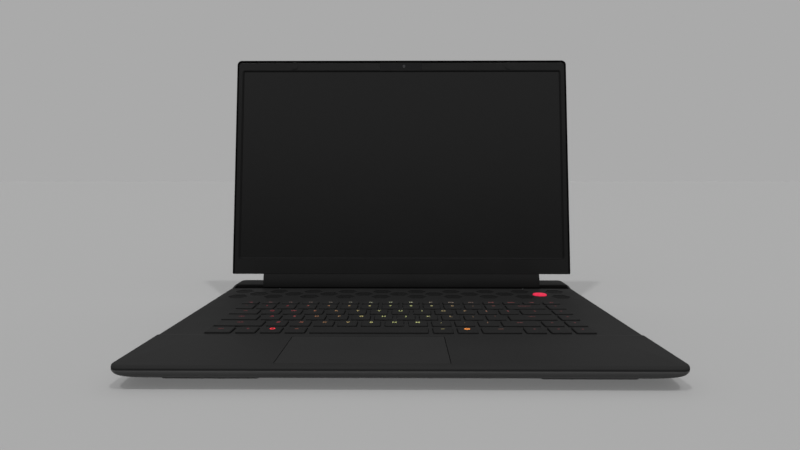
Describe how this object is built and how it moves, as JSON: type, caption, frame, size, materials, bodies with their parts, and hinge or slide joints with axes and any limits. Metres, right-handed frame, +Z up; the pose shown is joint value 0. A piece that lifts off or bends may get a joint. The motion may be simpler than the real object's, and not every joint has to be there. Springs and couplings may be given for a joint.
{
  "type": "laptop computer",
  "caption": "Open gaming laptop with a hinged screen lid, full backlit keyboard with arrow keys, offset touchpad and lit power button.",
  "frame": {"origin": "on the table under the centre of the open laptop's bounding box", "axes": "+X to the user's right, +Y away from the user towards the lid, +Z up"},
  "size_m": [0.369, 0.2979, 0.2661],
  "materials": {
    "lower_shell": "matte",
    "upper_shell": "matte",
    "rear_plastic": "matte",
    "steel": "brushed",
    "membrane": "matte",
    "touch_surface": "satin",
    "button": "lit",
    "rubber": "matte",
    "screw": "black oxide",
    "circuit_board": "solder mask",
    "chip": "matte",
    "copper": "bare",
    "fins": "bare",
    "fan_plastic": "matte",
    "battery": "wrapped",
    "socket": "matte",
    "socket_metal": "plated",
    "lid_shell": "matte",
    "bezel": "matte",
    "window": "gloss",
    "panel": "laminated",
    "screen": "anti-glare",
    "hinge_plastic": "matte",
    "keycap": "matte"
  },
  "bodies": {
    "base": {"top_case": "upper_shell", "bottom_cover": "lower_shell", "rear_shelf": "rear_plastic", "keyboard_plate": "steel", "key_membrane": "membrane", "rubber_feet": "rubber", "bottom_screws": "screw", "motherboard": "circuit_board", "processor": "chip", "graphics_chip": "chip", "memory_modules": "circuit_board", "solid_state_drive": "circuit_board", "wireless_card": "circuit_board", "heat_pipes": "copper", "heatsink_fins": "fins", "fan_housing_left": "fan_plastic", "fan_housing_right": "fan_plastic", "battery": "battery", "speakers": "fan_plastic", "power_inlet": "socket", "video_port": "socket_metal", "small_ports": "socket_metal", "large_ports": "socket_metal", "network_port": "socket", "audio_jack": "socket", "hinge_bracket_left": "steel", "hinge_bracket_right": "steel"},
    "lid": {"lid_cover": "lid_shell", "screen_bezel": "bezel", "webcam_window": "window", "webcam_module": "chip", "display_panel": "panel", "screen_glass": "screen", "display_board": "circuit_board", "lid_bumpers": "rubber", "hinge_cover": "hinge_plastic", "hinge_leaf_left": "steel", "hinge_leaf_right": "steel", "hinge_nuts": "steel"},
    "touchpad": {"touchpad": "touch_surface"},
    "power_button": {"power_button": "button"},
    "fan_rotor_left": {"fan_rotor_left": "fan_plastic"},
    "fan_rotor_right": {"fan_rotor_right": "fan_plastic"},
    "key_escape": {"key_escape": "keycap"},
    "keys_function_row": {"keys_function_row": "keycap"},
    "keys_number_row": {"keys_number_row": "keycap"},
    "key_backspace": {"key_backspace": "keycap"},
    "keys_media_column": {"keys_media_column": "keycap"},
    "keys_upper_row": {"keys_upper_row": "keycap"},
    "keys_home_row": {"keys_home_row": "keycap"},
    "key_enter": {"key_enter": "keycap"},
    "key_shift_left": {"key_shift_left": "keycap"},
    "keys_lower_row": {"keys_lower_row": "keycap"},
    "key_shift_right": {"key_shift_right": "keycap"},
    "keys_modifier_row": {"keys_modifier_row": "keycap"},
    "key_space": {"key_space": "keycap"},
    "key_arrow_up": {"key_arrow_up": "keycap"},
    "key_arrow_left": {"key_arrow_left": "keycap"},
    "key_arrow_down": {"key_arrow_down": "keycap"},
    "key_arrow_right": {"key_arrow_right": "keycap"}
  },
  "joints": [
    {"name": "lid_hinge", "type": "hinge", "parent": "base", "child": "lid", "pos_m": [0, 0.10715, 0.0197], "axis": [1, 0, 0], "range_deg": [-36, 98.9]},
    {"name": "key_escape_press", "type": "slide", "parent": "base", "child": "key_escape", "axis": [0, 0, 1], "range_m": [-0.0015, 0], "stiffness_N_per_m": 300, "springref_m": 0.0008},
    {"name": "keys_function_row_press", "type": "slide", "parent": "base", "child": "keys_function_row", "axis": [0, 0, 1], "range_m": [-0.0015, 0], "stiffness_N_per_m": 4500, "springref_m": 0.0008},
    {"name": "keys_number_row_press", "type": "slide", "parent": "base", "child": "keys_number_row", "axis": [0, 0, 1], "range_m": [-0.0015, 0], "stiffness_N_per_m": 3900, "springref_m": 0.0008},
    {"name": "key_backspace_press", "type": "slide", "parent": "base", "child": "key_backspace", "axis": [0, 0, 1], "range_m": [-0.0015, 0], "stiffness_N_per_m": 300, "springref_m": 0.0008},
    {"name": "keys_media_column_press", "type": "slide", "parent": "base", "child": "keys_media_column", "axis": [0, 0, 1], "range_m": [-0.0015, 0], "stiffness_N_per_m": 1200, "springref_m": 0.0008},
    {"name": "keys_upper_row_press", "type": "slide", "parent": "base", "child": "keys_upper_row", "axis": [0, 0, 1], "range_m": [-0.0015, 0], "stiffness_N_per_m": 4200, "springref_m": 0.0008},
    {"name": "keys_home_row_press", "type": "slide", "parent": "base", "child": "keys_home_row", "axis": [0, 0, 1], "range_m": [-0.0015, 0], "stiffness_N_per_m": 3600, "springref_m": 0.0008},
    {"name": "key_enter_press", "type": "slide", "parent": "base", "child": "key_enter", "axis": [0, 0, 1], "range_m": [-0.0015, 0], "stiffness_N_per_m": 300, "springref_m": 0.0008},
    {"name": "key_shift_left_press", "type": "slide", "parent": "base", "child": "key_shift_left", "axis": [0, 0, 1], "range_m": [-0.0015, 0], "stiffness_N_per_m": 300, "springref_m": 0.0008},
    {"name": "keys_lower_row_press", "type": "slide", "parent": "base", "child": "keys_lower_row", "axis": [0, 0, 1], "range_m": [-0.0015, 0], "stiffness_N_per_m": 3000, "springref_m": 0.0008},
    {"name": "key_shift_right_press", "type": "slide", "parent": "base", "child": "key_shift_right", "axis": [0, 0, 1], "range_m": [-0.0015, 0], "stiffness_N_per_m": 300, "springref_m": 0.0008},
    {"name": "keys_modifier_row_press", "type": "slide", "parent": "base", "child": "keys_modifier_row", "axis": [0, 0, 1], "range_m": [-0.0015, 0], "stiffness_N_per_m": 2100, "springref_m": 0.0008},
    {"name": "key_space_press", "type": "slide", "parent": "base", "child": "key_space", "axis": [0, 0, 1], "range_m": [-0.0015, 0], "stiffness_N_per_m": 300, "springref_m": 0.0008},
    {"name": "key_arrow_up_press", "type": "slide", "parent": "base", "child": "key_arrow_up", "axis": [0, 0, 1], "range_m": [-0.0015, 0], "stiffness_N_per_m": 300, "springref_m": 0.0008},
    {"name": "key_arrow_left_press", "type": "slide", "parent": "base", "child": "key_arrow_left", "axis": [0, 0, 1], "range_m": [-0.0015, 0], "stiffness_N_per_m": 300, "springref_m": 0.0008},
    {"name": "key_arrow_down_press", "type": "slide", "parent": "base", "child": "key_arrow_down", "axis": [0, 0, 1], "range_m": [-0.0015, 0], "stiffness_N_per_m": 300, "springref_m": 0.0008},
    {"name": "key_arrow_right_press", "type": "slide", "parent": "base", "child": "key_arrow_right", "axis": [0, 0, 1], "range_m": [-0.0015, 0], "stiffness_N_per_m": 300, "springref_m": 0.0008},
    {"name": "touchpad_click", "type": "hinge", "parent": "base", "child": "touchpad", "pos_m": [0, -0.087, 0.0136], "axis": [1, 0, 0], "range_deg": [0, 0.4], "stiffness_Nm_per_rad": 20, "springref_deg": -0.57},
    {"name": "power_button_press", "type": "slide", "parent": "base", "child": "power_button", "axis": [0, 0, 1], "range_m": [-0.0004, 0], "stiffness_N_per_m": 1500, "springref_m": 0.0003},
    {"name": "fan_spin_left", "type": "hinge", "parent": "base", "child": "fan_rotor_left", "pos_m": [-0.112, 0.068, 0.0067], "axis": [0, 0, 1], "continuous": true},
    {"name": "fan_spin_right", "type": "hinge", "parent": "base", "child": "fan_rotor_right", "pos_m": [0.112, 0.068, 0.0067], "axis": [0, 0, 1], "continuous": true}
  ]
}
